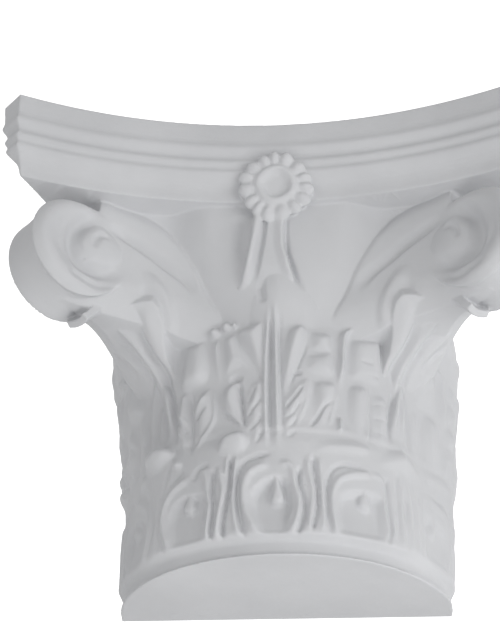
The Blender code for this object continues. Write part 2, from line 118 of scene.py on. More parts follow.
def ease(share):
    """Smooth step from 0 to 1."""
    share = np.clip(share, 0.0, 1.0)
    return share * share * (3.0 - 2.0 * share)


def mix(first, second, share):
    return first + (second - first) * share


def swell(distance, half_width):
    """Round ridge profile: 1 on the crest and 0 beyond its half width."""
    return 0.5 + 0.5 * np.cos(np.pi * np.clip(np.abs(distance) / half_width, 0.0, 1.0))


def smooth_line(points, steps=6, closed=False):
    """Points along a smooth curve through the given ones."""
    points = np.asarray(points, float)
    if closed:
        ends = np.vstack([points[-1:], points, points[:2]])
    else:
        ends = np.vstack([2 * points[:1] - points[1:2], points, 2 * points[-1:] - points[-2:-1]])
    line = []
    for before, start, end, after in zip(ends, ends[1:], ends[2:], ends[3:]):
        for share in np.arange(steps) / steps:
            line.append(0.5 * (2 * start + (end - before) * share
                               + (2 * before - 5 * start + 4 * end - after) * share ** 2
                               + (3 * start - before - 3 * end + after) * share ** 3))
    if not closed:
        line.append(points[-1])
    return np.array(line)


# Canvas of carving: how far the surface stands out from the bell, over angle and height

class Canvas:
    """Rise of the carving over a grid of angles in degrees and heights in foot diameters."""

    def __init__(self, half_angle, top):
        self.angles = np.arange(-half_angle, half_angle + canvas_angle_step, canvas_angle_step)
        self.heights = np.arange(0.0, top + canvas_step, canvas_step)
        self.rise = np.zeros((len(self.heights), len(self.angles)))
        self.across = np.radians(self.angles) * carving_radius

    def flat(self, points):
        """Places as lengths on the unrolled surface."""
        angles, heights = np.array(points, float).T
        return np.column_stack([np.radians(angles) * carving_radius, heights / diameter_parts])

    def layer(self, *measures):
        """Even rise that begins at one height and ends at another, each over its own height."""
        rise, low, low_over, high, high_over = np.array(measures) / diameter_parts
        heights = self.heights[:, None]
        self.rise += rise * ease((heights - low) / low_over) * (1.0 - ease((heights - high) / high_over))

    def window(self, line, reach):
        """Part of the grid within reach of a line, with its places."""
        low = line.min(axis=0) - reach
        high = line.max(axis=0) + reach
        columns = slice(*np.searchsorted(self.across, (low[0], high[0])))
        rows = slice(*np.searchsorted(self.heights, (low[1], high[1])))
        x, z = np.meshgrid(self.across[columns], self.heights[rows])
        return (rows, columns), x, z

    def stroke(self, points, half_width, rise, tapers=stroke_tapers, widths=(1.0, 1.0)):
        """Ridge along a line, or a groove where the rise is negative. The half width is in degrees."""
        line = smooth_line(self.flat(points))
        half_width = half_width * degree_length
        part, x, z = self.window(line, half_width * max(widths))
        distance, share = distance_to(line, x, z)
        profile = swell(distance, half_width * mix(widths[0], widths[1], share))
        profile *= ease(share / tapers[0] + blunt_end) * ease((1.0 - share) / tapers[1] + blunt_end)
        self.rise[part] += rise / diameter_parts * profile

    def lobe(self, outline, root, tip, rises, edge, blend):
        """Pillow inside an outline that grows from its root to its tip."""
        root_rise, tip_rise, edge, blend = np.array([*rises, edge, blend]) / diameter_parts
        line = smooth_line(self.flat(outline), closed=True)
        part, x, z = self.window(line, 0.0)
        inside = inside_distance(line, x, z)
        start, end = self.flat([root, tip])
        way = end - start
        along = ((x - start[0]) * way[0] + (z - start[1]) * way[1]) / (way @ way)
        dome = 1.0 - (1.0 - np.clip(inside / edge, 0.0, 1.0)) ** 2
        height = mix(root_rise, tip_rise, ease(along)) * dome
        below = self.rise[part]
        nearness = np.clip(blend - np.abs(height - below), 0.0, None) / blend
        joined = np.maximum(height, below) + 0.25 * blend * nearness ** 2
        self.rise[part] = np.where(inside > 0.0, joined, below)

    def scoop(self, outline, depth):
        """Hollow inside an outline, shallower towards its foot."""
        line = smooth_line(self.flat(outline), closed=True)
        part, x, z = self.window(line, 0.0)
        inside = inside_distance(line, x, z)
        fade = mix(niche_foot_share, 1.0, ease((z - niche_foot_height) / niche_fade_height))
        self.rise[part] -= depth / diameter_parts * ease(inside / niche_edge) * fade

    def pit(self, centre, radii, depth):
        """Small oval hollow, or a bead where the depth is negative."""
        middle = self.flat([centre])
        across, along = np.array(radii) / diameter_parts
        part, x, z = self.window(middle, max(across, along))
        away = ((x - middle[0, 0]) / across) ** 2 + ((z - middle[0, 1]) / along) ** 2
        self.rise[part] -= depth / diameter_parts * np.clip(1.0 - away, 0.0, 1.0) ** pit_power


def distance_to(line, x, z):
    """Distance of each place to a line, and the share of the line's length where it is nearest."""
    steps = np.linalg.norm(np.diff(line, axis=0), axis=1)
    starts = np.concatenate([[0.0], np.cumsum(steps)])
    nearest = np.full(x.shape, np.inf)
    share = np.zeros(x.shape)
    for index, (start, end) in enumerate(zip(line, line[1:])):
        way = end - start
        size = max(way @ way, least_square)
        along = np.clip(((x - start[0]) * way[0] + (z - start[1]) * way[1]) / size, 0.0, 1.0)
        away = np.hypot(x - start[0] - along * way[0], z - start[1] - along * way[1])
        closer = away < nearest
        nearest = np.where(closer, away, nearest)
        share = np.where(closer, (starts[index] + along * steps[index]) / starts[-1], share)
    return nearest, share


def inside_distance(line, x, z):
    """Distance to a closed outline, negative outside it."""
    closed = np.vstack([line, line[:1]])
    distance, share = distance_to(closed, x, z)
    inside = np.zeros(x.shape, bool)
    for start, end in zip(closed, closed[1:]):
        if start[1] == end[1]:
            continue
        crossing = start[0] + (z - start[1]) * (end[0] - start[0]) / (end[1] - start[1])
        inside ^= ((start[1] > z) != (end[1] > z)) & (x < crossing)
    return np.where(inside, distance, -distance)


# Lower row of leaves

# Even layers: rise, the height where each begins and over how much, where it ends and over how much
leaf_layer = (14, 47, 14, 335, 90)
foot_band = (-14, 0, 10, 41, 14)

# Curled tips of the leaves: outline, root, tip, rise at both, width of the edge, blend
curled_tips = (
    ([(-20.8, 318), (-20.2, 352), (-17.5, 377), (-13, 385), (-10.3, 374), (-9.2, 345), (-10.5, 312),
      (-15, 296)], (-15, 290), (-15, 372), (14, 47), 30, 8),
    ([(-52, 335), (-50, 378), (-44, 395), (-39.8, 388), (-37.2, 367), (-37.6, 345), (-41, 325),
      (-46, 318)], (-42, 300), (-43, 385), (18, 60), 30, 8),
    ([(-39, 345), (-37, 353), (-34.5, 336), (-33.2, 315), (-35, 298), (-38.5, 305)], (-39, 330),
     (-35, 320), (18, 30), 20, 8),
    ([(10.5, 305), (12, 335), (15, 352), (20, 360), (26, 365), (31, 352), (30, 322), (22, 305)],
     (18, 290), (20, 360), (14, 29), 40, 16),
    ([(33, 298), (34.5, 328), (38, 355), (44, 382), (52, 395), (56, 350), (48, 300), (39, 288)],
     (41, 270), (44, 385), (14, 40), 46, 16),
)

# Niches, in foot diameters: how wide the edge of the hollow is, and how it fades towards its foot
niche_edge = 0.026
niche_foot_height = 0.05
niche_foot_share = 0.45
niche_fade_height = 0.11

# Rims: tapers at both ends, and widths there, as shares
rim_tapers = (0.15, 0.12)
rim_widths = (0.8, 1.2)

# Drops, in thousandths: rise, edge and blend. Their low end is this place of the outline
drop_rise = 12
drop_edge = 14
drop_blend = 6
drop_low_end = 5


def carve_lower_row(canvas):
    """Leaf layer above the foot band, its curled tips, and the niches between the leaves."""
    canvas.layer(*leaf_layer)
    canvas.layer(*foot_band)
    for tip in curled_tips:
        canvas.lobe(*tip)
    for niche in niches:
        carve_niche(canvas, *niche)


def carve_niche(canvas, recess, rims, drop, depth):
    """Arched hollow with a rolled rim, and a drop that hangs in it from above."""
    canvas.scoop(recess, depth)
    for rim in rims:
        canvas.stroke(*rim, rim_tapers, rim_widths)
    canvas.lobe(drop, drop[0], drop[drop_low_end], (drop_rise, drop_rise), drop_edge, drop_blend)


# Niches: outline of the hollow, rims (points, half width in degrees, rise), outline of the drop, depth
niches = (
    ([(-36.5, 55), (-38.7, 100), (-39.8, 145), (-38.8, 180), (-36.5, 203), (-33, 215), (-29, 215),
      (-25.5, 210), (-23.8, 190), (-23.4, 150), (-24, 100), (-25, 55)],
     (([(-37.8, 60), (-40.2, 110), (-41.3, 150), (-40.8, 190), (-38.8, 222), (-36, 243), (-33, 255),
       (-31, 270)], 1.7, 10),
      ([(-23.4, 60), (-22.9, 120), (-22.4, 160), (-23.4, 200), (-24, 240), (-25, 270), (-27, 285)],
       1.2, 7)),
     [(-31.8, 285), (-31.7, 250), (-31.3, 215), (-32.5, 190), (-33.6, 170), (-32.3, 158), (-30, 152),
      (-28.4, 165), (-28.6, 190), (-29.3, 215), (-29.4, 250), (-29, 285)], 22),
    ([(-5.4, 50), (-8, 90), (-9.7, 130), (-10, 170), (-8.6, 200), (-6, 222), (-2.5, 236), (0, 238),
      (2.5, 230), (4.2, 210), (4.8, 180), (4.9, 140), (3.8, 100), (2.5, 50)],
     (([(-7, 55), (-9.3, 100), (-11, 140), (-11.4, 180), (-11, 215), (-9.5, 245), (-6.5, 262),
       (-3, 268)], 1.9, 11),
      ([(3.6, 60), (5.2, 100), (6.1, 140), (5.8, 180), (4.9, 215), (4.3, 250), (3, 268), (0, 270)],
       1.4, 9)),
     [(-2.2, 310), (-2.1, 260), (-1.9, 220), (-2.6, 180), (-2.8, 160), (-1.5, 148), (0.6, 150),
      (1.6, 165), (1.1, 190), (0.4, 220), (0.3, 270), (0.2, 310)], 27),
    ([(19.3, 60), (18.3, 100), (17.9, 145), (18.5, 175), (20.3, 195), (24, 207), (28.5, 212), (33, 208),
      (35.3, 190), (35.8, 150), (35.5, 100), (34, 60)],
     (([(18, 60), (17, 100), (16.6, 150), (17, 190), (18.6, 222), (21.5, 243), (26, 255), (31, 262)],
       1.6, 10),
      ([(35.2, 60), (36.3, 110), (35.8, 180), (35.5, 240), (33.5, 262), (31, 265)], 1.2, 6)),
     [(27, 275), (27.2, 240), (27, 210), (26.2, 185), (26, 165), (27.2, 152), (29, 148), (30.6, 158),
      (30.3, 180), (29.8, 210), (29.8, 240), (29.9, 275)], 20),
)


# Deep narrow grooves between the niches: points, half width in degrees, depth
grooves = (
    ([(-18, 52), (-18.1, 100), (-17.2, 150), (-16, 200), (-15.7, 250), (-15.3, 308)], 1, 26),
    ([(-10.6, 48), (-12.3, 100), (-13.1, 150), (-13.3, 200), (-12.9, 250), (-11.3, 279), (-8.3, 293),
     (-5, 300), (-2.6, 302)], 1.1, 20),
    ([(-22.1, 55), (-22, 100), (-21.3, 150), (-22, 200), (-21.6, 250), (-21.3, 275)], 1, 22),
    ([(5.1, 52), (7, 90), (8, 130), (7.8, 160), (6.4, 200), (6.2, 230), (6.9, 264)], 1, 23),
    ([(10.2, 65), (11, 100), (12.1, 150), (12, 200), (11.4, 250), (11, 300)], 0.9, 20),
    ([(16.4, 55), (16, 90), (15.1, 130), (15.1, 190), (16, 235), (17.8, 262), (21, 278), (25, 278),
     (29, 275)], 1, 15),
    ([(-40, 48), (-42, 100), (-43.2, 150), (-43, 200), (-42, 250), (-40.5, 300), (-38.5, 335)], 0.9, 10),
    ([(-41, 238), (-38.5, 266), (-35, 285), (-33.2, 291)], 1.2, 7),
    ([(-28.9, 250), (-28.2, 272), (-26, 288), (-23.6, 288)], 1.2, 10),
    ([(36, 58), (37.3, 100), (37, 140), (36.5, 190), (36.5, 240), (37.2, 268)], 1, 14),
    ([(40.5, 80), (41, 130), (41, 200), (41.8, 300)], 0.8, 8),
    ([(44.6, 230), (44.8, 180), (46, 120), (47.2, 60)], 1.2, 9),
)

# Round ribs beside the grooves: points, half width in degrees, rise
ribs = (
    ([(-12.6, 52), (-13.8, 90), (-14.5, 140), (-14.7, 190), (-14.3, 240), (-13.9, 305)], 1.1, 8),
    ([(-20.1, 55), (-19.7, 100), (-18.9, 150), (-18.2, 200), (-18.8, 240), (-20.2, 275)], 1.3, 10),
    ([(-17.3, 245), (-16.9, 305)], 0.9, 6),
    ([(-23.4, 70), (-23, 130), (-22.9, 170)], 0.9, 4),
    ([(8.8, 60), (9.5, 100), (10.2, 140), (10.4, 190), (9.4, 240), (9, 295)], 1.2, 8),
    ([(13.4, 60), (13.7, 120), (13.6, 180), (13.3, 240), (12.9, 295)], 1.2, 7),
    ([(38.8, 80), (38.8, 160), (38.6, 240)], 1.1, 5),
    ([(43, 60), (42.9, 160), (43.4, 260)], 1.1, 5),
    ([(-45.2, 60), (-45.2, 160)], 1.1, 4),
)


# Grooves are cut a little wider and shallower than their table says
groove_width_share = 1.2
groove_depth_share = 0.75
groove_tapers = (0.12, 0.12)


def carve_lower_grooves(canvas):
    """Grooves of the leaves between the niches, with the ribs beside them."""
    for points, half_width, depth in grooves:
        canvas.stroke(points, groove_width_share * half_width, -groove_depth_share * depth, groove_tapers)
    for rib in ribs:
        canvas.stroke(*rib, groove_tapers)


# Upper row of leaves

# Even layer under the leaves, given as in the lower row
upper_layer = (8, 370, 20, 690, 50)

# Small hollows, and beads where the depth is negative: centre, radii, depth
upper_pits = (
    ((-14, 557), (24, 15), 16), ((6.7, 567), (17, 11), 12), ((-9, 737), (18, 10), 6),
    ((-25.2, 744), (14, 14), -26), ((-21.2, 722), (22, 22), -26), ((-17, 735), (20, 20), -26),
    ((-14.2, 735), (11, 11), -26),
)


def carve_upper_row(canvas):
    """Middle leaf with its double midrib, and the lobes of the leaves beside it."""
    canvas.layer(*upper_layer)
    canvas.lobe(*middle_leaf_top, middle_leaf_top_edge, upper_lobe_blend)
    for outline, root, tip, rises in upper_lobes:
        fuller = [upper_lobe_share * rise for rise in rises]
        canvas.lobe(outline, root, tip, fuller, upper_lobe_edge, upper_lobe_blend)
    for stroke in upper_strokes:
        canvas.stroke(*stroke)
    for pit in upper_pits:
        canvas.pit(*pit)


# Top of the middle leaf, leaning out under the tail: outline, root, tip, rise at both
middle_leaf_top = (
    [(-8, 690), (-8.2, 790), (-6.4, 835), (-4.8, 875), (-1, 905), (3, 895), (8.5, 850), (12.8, 795),
     (14.2, 730), (9, 690), (0, 680)], (1, 660), (1, 840), (6, 18),
)

# Edges and blend of the lobes in thousandths, and how much fuller they are than their table says
middle_leaf_top_edge = 85
upper_lobe_edge = 44
upper_lobe_blend = 8
upper_lobe_share = 1.05

# Outline, root, tip, and rise at both
upper_lobes = (
    # Middle leaf: lower sides with their veins
    ([(-3.8, 330), (-9, 322), (-11, 400), (-11.6, 470), (-9.3, 535), (-6, 550), (-3.8, 530)], (-6, 330),
     (-9, 530), (16, 22)),
    ([(0.9, 340), (4.5, 362), (7.6, 420), (9.8, 470), (11, 535), (9.5, 553), (6.3, 538), (3, 500),
     (0.9, 470)], (3, 360), (9, 530), (16, 25)),
    # Middle leaf: tall lobes
    ([(-4.4, 520), (-6.5, 562), (-9.5, 628), (-12, 678), (-13.4, 704), (-12, 722), (-9.5, 727),
     (-6.5, 738), (-4.4, 730), (-4, 620)], (-4.9, 540), (-10, 720), (18, 32)),
    ([(1.4, 500), (1, 560), (1.5, 630), (3, 692), (5, 718), (7.5, 728), (9.7, 714), (9.9, 690),
     (8.6, 645), (6.5, 590), (4, 530)], (2, 510), (9, 715), (20, 40)),
    # Leaf behind on the left
    ([(-11.4, 390), (-12.3, 470), (-13.3, 540), (-14.6, 548), (-17.6, 537), (-19.4, 510), (-19.4, 470),
     (-17.5, 435), (-14.2, 405)], (-13, 400), (-16, 535), (16, 32)),
    ([(-17.9, 575), (-18.2, 640), (-17.9, 697), (-15.5, 706), (-13.7, 702), (-11.6, 657), (-9.4, 612),
     (-6.6, 562), (-9, 566), (-12, 584), (-15, 582)], (-7, 565), (-16.5, 700), (20, 32)),
    ([(-18.9, 693), (-18.7, 620), (-19.2, 556), (-20.6, 552), (-21.9, 600), (-22.5, 660), (-21.6, 693)],
     (-20, 560), (-20.5, 690), (18, 32)),
    ([(-24.6, 703), (-23.4, 640), (-23.6, 585), (-26, 556), (-31, 548), (-34.6, 560), (-35.1, 600),
     (-33.9, 660), (-32.6, 700), (-28.5, 709)], (-34, 660), (-26, 580), (24, 36)),
    ([(-38, 550), (-39.6, 600), (-40.4, 650), (-40.1, 700), (-38.3, 736), (-36, 742), (-34.6, 722),
     (-34.9, 690), (-36.1, 640), (-37.1, 580)], (-38, 560), (-36.5, 730), (20, 42)),
    # Leaf behind on the left, lower halves either side of its middle vein
    ([(-30.9, 340), (-31.2, 450), (-31.6, 530), (-32.3, 549), (-35, 549), (-35.9, 520), (-36.9, 490),
     (-37.6, 440), (-37.2, 380), (-34, 330)], (-33, 350), (-34, 540), (16, 30)),
    ([(-29.7, 345), (-27, 363), (-24, 392), (-21.6, 430), (-21, 470), (-21.7, 520), (-23, 543),
     (-25.5, 543), (-28.5, 520), (-30, 470)], (-29, 360), (-23, 510), (14, 26)),
    # Leaf behind on the right
    ([(11, 700), (10.4, 665), (11, 640), (14, 631), (17.8, 640), (18.5, 670), (18, 700), (14.5, 708)],
     (11, 650), (17, 690), (22, 31)),
    ([(8.8, 600), (9.4, 572), (13, 556), (17.6, 557), (19.2, 580), (19, 622), (17.5, 645), (13, 642),
     (10, 635)], (10, 600), (17, 580), (20, 28)),
    ([(10.6, 395), (11.3, 470), (11.8, 537), (14, 547), (18.6, 547), (20.2, 525), (19.7, 480), (18, 420),
     (16.5, 388), (13, 382)], (14, 390), (16, 540), (14, 30)),
    ([(24.3, 570), (24.1, 640), (24.9, 690), (28, 709), (33, 721), (35.9, 727), (37, 690), (37.3, 630),
     (36.3, 572), (30, 558)], (31, 560), (31, 720), (20, 34)),
    ([(23.4, 400), (22.9, 470), (23.7, 530), (26, 549), (30.5, 549), (31.4, 500), (31.1, 420), (30, 350),
     (26, 358)], (27, 360), (27, 540), (14, 30)),
    ([(32.6, 360), (33, 450), (33.2, 525), (37, 540), (39.6, 520), (40, 450), (39.3, 370)], (36, 370),
     (36, 530), (13, 22)),
)

# Ridges, and grooves where the rise is negative: points, half width in degrees, rise
upper_strokes = (
    # Double midrib and the grooves beside it
    ([(-4.2, 325), (-4.2, 500), (-4, 600), (-3.3, 700), (-2.9, 785)], 1, 16),
    ([(-0.3, 325), (-0.5, 500), (-0.5, 620), (-0.6, 720), (-0.9, 800)], 1.1, 16),
    ([(-2.5, 330), (-2.7, 450), (-2.5, 560), (-2.1, 660), (-1.9, 770)], 0.8, -12),
    ([(1.7, 350), (1.3, 450), (0.9, 550), (0.7, 620), (0.9, 700), (1.1, 780)], 0.7, -8),
    # Veins of the middle leaf
    ([(-9.7, 470), (-7.2, 525)], 0.65, -12),
    ([(-10.2, 428), (-7.5, 460), (-5.2, 490)], 0.65, -13),
    ([(-9.8, 383), (-7.2, 402), (-4.9, 430)], 0.65, -13),
    ([(-7.3, 338), (-5, 385)], 0.75, -12),
    ([(2.3, 448), (5, 478), (8.5, 526)], 0.65, -18),
    ([(2.3, 417), (5, 436), (7.3, 474)], 0.6, -13),
    ([(2.6, 385), (4.5, 397), (6.2, 420)], 0.6, -11),
    ([(3.2, 357), (5.3, 376)], 0.6, -9),
    ([(10.2, 545), (9.6, 490), (8, 440), (5.5, 395)], 0.8, 8),
    ([(-13.2, 695), (-11, 645), (-8.4, 595), (-5.5, 540)], 0.8, 8),
    ([(-13.8, 715), (-11.9, 670), (-9.6, 622), (-7, 575), (-5, 530)], 0.6, -12),
    ([(9.9, 675), (8.4, 630), (6.2, 578), (3.4, 515)], 0.6, -12),
    # Leaf behind on the left
    ([(-12.9, 548), (-12.2, 480), (-11.1, 395)], 0.9, -20),
    ([(-18.6, 449), (-15.5, 423), (-12.8, 400)], 0.7, -10),
    ([(-18.6, 468), (-15.5, 438), (-12.5, 412)], 0.7, 9),
    ([(-37, 492), (-34.3, 466), (-32, 441)], 0.7, 8),
    ([(-37.2, 443), (-34.6, 410), (-32.2, 375)], 0.7, 7),
    ([(-36.8, 468), (-34.4, 440), (-32.2, 410)], 0.7, -10),
    ([(-30.4, 550), (-30.5, 450), (-30.3, 335)], 0.8, -12),
    ([(-22.3, 535), (-21.6, 480), (-21.9, 440), (-24, 405), (-27, 372), (-29.2, 350)], 0.9, 10),
    ([(-29.4, 463), (-27, 490), (-24.3, 516)], 0.8, 10),
    ([(-28.6, 448), (-26.5, 466), (-24.6, 482)], 0.8, -12),
    ([(-36.2, 735), (-35.4, 690), (-36.6, 630)], 0.8, 6),
    # Leaf behind on the right
    ([(10.2, 390), (13, 424), (15.3, 462), (18.2, 484)], 0.7, -18),
    ([(16.6, 398), (18.3, 455), (20.1, 522)], 0.8, 9),
    ([(20.5, 382), (20.6, 432)], 0.8, 18),
    ([(20.7, 530), (21.4, 600), (21.7, 668), (22.3, 703), (24.5, 724), (28.5, 736), (31, 762), (34, 820)],
     1.5, 22),
    ([(10.2, 628), (14, 622)], 0.6, -6),
    ([(27.5, 627), (33, 627)], 0.8, -6),
    ([(30, 588), (36.5, 594)], 0.7, -6),
    ([(31.2, 550), (31.1, 460), (30.1, 360)], 0.8, 7),
    ([(32.1, 550), (32, 450), (31, 360)], 0.7, -8),
    ([(33, 500), (38.5, 505)], 0.7, -5),
    ([(33, 455), (38.8, 458)], 0.7, -5),
    ([(33, 410), (38.5, 412)], 0.7, -4),
)


# Shadow lines beside the tail, and feet of the corner leaves: points, half width in degrees, rise
corner_feet_tapers = (0.2, 0.35)
corner_feet = (
    # Beside the tail
    ([(2.5, 1100), (2.7, 1015), (3.4, 965), (4.5, 935), (6.6, 882), (9, 845)], 1.3, -22),
    ([(-10.5, 1100), (-11, 1020), (-12, 950)], 3.6, -10),
    ([(-4.4, 800), (-5, 850), (-4.6, 890)], 1.8, -12),
    # Lower ends of the midribs and the grooves beside them, on the left and on the right
    ([(-46, 690), (-43, 620), (-41.2, 560), (-40.2, 500), (-39.6, 440)], 1.7, 16),
    ([(-44, 680), (-41, 610), (-38.8, 540), (-37.9, 470), (-37.4, 390)], 1.5, -16),
    ([(-46, 600), (-43.8, 530), (-42.6, 460), (-42, 400)], 1.6, -12),
    ([(50, 700), (47, 640), (44.5, 580), (43.2, 500), (42.6, 430)], 1.7, 16),
    ([(47, 660), (43.5, 590), (41.4, 520), (40.4, 450), (40, 380)], 1.5, -16),
)


# Bell

# Rounds of softening on the front and the sides, the sides' share of the rise, and where they begin
front_softening = 1
side_softening = 12
side_share = 0.8
side_lead_angle = 3.0
side_over_angle = 10.0

# Arc of the slab's hollowed sides, in metres
slab_half_chord = slab_corner_reach - slab_corner_cut
slab_sagitta = slab_corner_reach - slab_middle_reach
slab_side_radius = (slab_half_chord ** 2 + slab_sagitta ** 2) / (2.0 * slab_sagitta)
slab_side_centre = slab_middle_reach + slab_side_radius


def from_middle(angles):
    """Angle from the middle of the nearest side of the slab."""
    return np.minimum(np.abs(angles), quarter_turn - np.abs(angles))


def plan_radius(angles, inset):
    """Distance from the axis to the slab's hollowed side moved in by the inset."""
    turns = np.radians(from_middle(angles))
    beside = slab_side_centre * np.sin(turns)
    return slab_side_centre * np.cos(turns) - np.sqrt((slab_side_radius + inset) ** 2 - beside ** 2)


def bell_radius(angles, heights):
    """Plain bell: round, nearly straight up to its waist, and spread to the slab's plan above."""
    below = mix(foot_radius, bell_waist_radius, ease(heights / bell_waist_height))
    share = np.clip((heights - bell_waist_height) / (slab_underside - bell_waist_height), 0.0, None)
    above = mix(bell_waist_radius, bell_lip_radius, share ** bell_flare)
    radius = np.where(heights < bell_waist_height, below, above)
    spread = np.clip((heights - web_foot_height) / (slab_underside - web_foot_height), 0.0, None)
    towards_corner = ease((from_middle(angles) - web_corner_from) / web_corner_over)
    inset = mix(web_inset, web_corner_inset, towards_corner)
    radius = mix(radius, plan_radius(angles, inset), spread ** web_flare)
    swelling = np.where(np.asarray(angles) < 0.0, np.interp(heights, side_heights, left_swelling),
                        np.interp(heights, side_heights, right_swelling))
    return radius + swelling * ease((np.abs(angles) - swelling_from_angle) / swelling_over_angle)


def softened(rise, steps):
    """Carving blurred over its neighbours, as worn and hurried work is."""
    for _ in range(steps):
        rise = np.pad(rise, 1, mode="edge")
        rise = 0.25 * (rise[:-2] + 2.0 * rise[1:-1] + rise[2:])
        rise = 0.25 * (rise[:, :-2] + 2.0 * rise[:, 1:-1] + rise[:, 2:])
    return rise


def carved_bell():
    """Bell with both rows of leaves. Beyond the corners the carving turns back to the wall, plainer."""
    canvas = Canvas(diagonal_angle + canvas_margin_angle, (slab_underside + overlap) / foot_diameter)
    carve_lower_row(canvas)
    carve_lower_grooves(canvas)
    carve_upper_row(canvas)
    for stroke in corner_feet:
        canvas.stroke(*stroke, corner_feet_tapers)
    columns = int(2 * quarter_turn / canvas_angle_step)
    angles = np.linspace(-quarter_turn, quarter_turn, columns + 1)
    turned_back = np.sign(angles) * (quarter_turn - np.abs(angles))
    front = np.where(np.abs(angles) > diagonal_angle, turned_back, angles)
    beyond = ease((np.abs(angles) - diagonal_angle + side_lead_angle) / side_over_angle)
    turns = np.radians(angles)
    carved = softened(canvas.rise, front_softening)
    plain = softened(canvas.rise, side_softening)
    rows = []
    for height, rise, soft in zip(canvas.heights * foot_diameter, carved, plain):
        front_rise = np.interp(front, canvas.angles, rise)
        side_rise = side_share * np.interp(front, canvas.angles, soft)
        radius = bell_radius(angles, height) + foot_diameter * mix(front_rise, side_rise, beyond)
        level = np.full(len(angles), height)
        row = np.column_stack([radius * np.sin(turns), -radius * np.cos(turns), level])
        row[[0, -1], 1] = 0.0
        rows.append(into_wall(row))
    return skinned_mesh("bell", rows, at_wall=True)


def into_wall(row):
    """An open row that runs from wall to wall, with its ends carried on behind the wall's face."""
    first = row[0] + [0.0, wall_lap, 0.0]
    last = row[-1] + [0.0, wall_lap, 0.0]
    return np.vstack([first, row, last])


# Meshes

def linked(name, data):
    """New object in the scene."""
    made = bpy.data.objects.new(name, data)
    bpy.context.scene.collection.objects.link(made)
    return made


def new_object(name, points, faces):
    """Mesh object from points counted from the foot, faces turned outwards."""
    mesh = bpy.data.meshes.new(name)
    placed = np.asarray(points, float) + [0.0, 0.0, foot_level]
    mesh.from_pydata(placed.tolist(), [], faces)
    work = bmesh.new()
    work.from_mesh(mesh)
    bmesh.ops.recalc_face_normals(work, faces=work.faces)
    work.to_mesh(mesh)
    work.free()
    return linked(name, mesh)


def skinned_mesh(name, rows, at_wall=False):
    """Closed skin through rows of equally many points. Rows at the wall are open, with a flat back."""
    count = len(rows[0])
    last = (len(rows) - 1) * count
    faces = []
    for low in range(0, last, count):
        for index in range(count - 1 if at_wall else count):
            following = (index + 1) % count
            faces.append((low + index, low + following, low + count + following, low + count + index))
    faces.append(tuple(range(count)))
    faces.append(tuple(range(last, last + count)))
    if at_wall:
        lows = range(0, last + 1, count)
        faces.append((*lows, *[low + count - 1 for low in reversed(lows)]))
    return new_object(name, np.vstack(rows), faces)


# Slab

slab_front_steps = 120
slab_side_steps = 50

# Moulded edge from the top down, in tenths of a millimetre: how far it stands back, how far below the top
slab_profile = (
    (0, 0), (3, 40), (8, 100), (12, 150), (10, 178), (4, 200), (3, 218), (10, 236), (22, 254), (34, 272),
    (39, 290), (35, 308), (28, 322), (25, 336), (29, 350), (39, 366), (46, 382), (45, 396), (41, 408),
    (40, 420), (47, 436), (64, 458), (86, 482), (106, 510), (120, 540), (128, 570), (131, 595),
    (136, 620),
)


def slab_outline(inset):
    """Plan of the slab, moved in by the inset, from the wall on the right round to the left."""
    radius = slab_side_radius + inset
    diagonal = math.sqrt(2.0)
    half_corner = math.radians(diagonal_angle)
    meeting = math.asin(slab_side_centre / (diagonal * radius)) - half_corner
    cut = slab_half_chord + slab_corner_reach - diagonal * inset
    cut = min(cut, 2.0 * radius * math.sin(meeting) - slab_least_cut)
    reach = half_corner + math.asin((cut - slab_side_centre) / (diagonal * radius))
    side, front = [np.column_stack([radius * np.sin(turns), radius * np.cos(turns) - slab_side_centre])
                   for turns in (np.linspace(0.0, reach, slab_side_steps),
                                 np.linspace(reach, -reach, slab_front_steps))]
    right = -side[:, ::-1]
    left = right[::-1] * [-1.0, 1.0]
    return np.vstack([right, front, left])


def moulded_slab():
    rows = []
    for inset, depth in np.array(slab_profile) / metre_parts:
        plan = slab_outline(inset)
        level = np.full((len(plan), 1), total_height - depth)
        rows.append(into_wall(np.hstack([plan, level])))
    return skinned_mesh("slab", rows, at_wall=True)


# Scrolls, in foot diameters, with tables in thousandths

scroll_centre = (0.900, 0.920)
scroll_face_radius = 0.165
scroll_steps = 144
scroll_back_share = 0.95

# Rings of the scroll's face: from and to a share of its radius, and how many
scroll_rings = ((0.02, 0.9, 40), (0.915, 1.0, 8))

# Distance of the scroll's face from the corner's plane, and how it widens along the stalk to the bell
scroll_face_offset = 0.076
stalk_flare = 0.17
stalk_flare_reach = (0.460, 0.800)
stalk_flare_power = 1.5

# Round ring at the scroll's edge
ring_radius = 0.124
ring_half_width = 0.050
ring_rise = 0.015
ring_from_reach = (0.790, 0.920)
edge_fall_radius = 0.138
edge_fall = 0.018

# Scroll's outer surface from the front to the back edge: offset from the corner's plane, radius. Its
# middle moves in and down towards the back
scroll_rim = (
    (56, 160), (46, 156), (30, 155), (10, 156), (-15, 158), (-40, 161), (-62, 165), (-78, 167),
    (-86, 163),
)

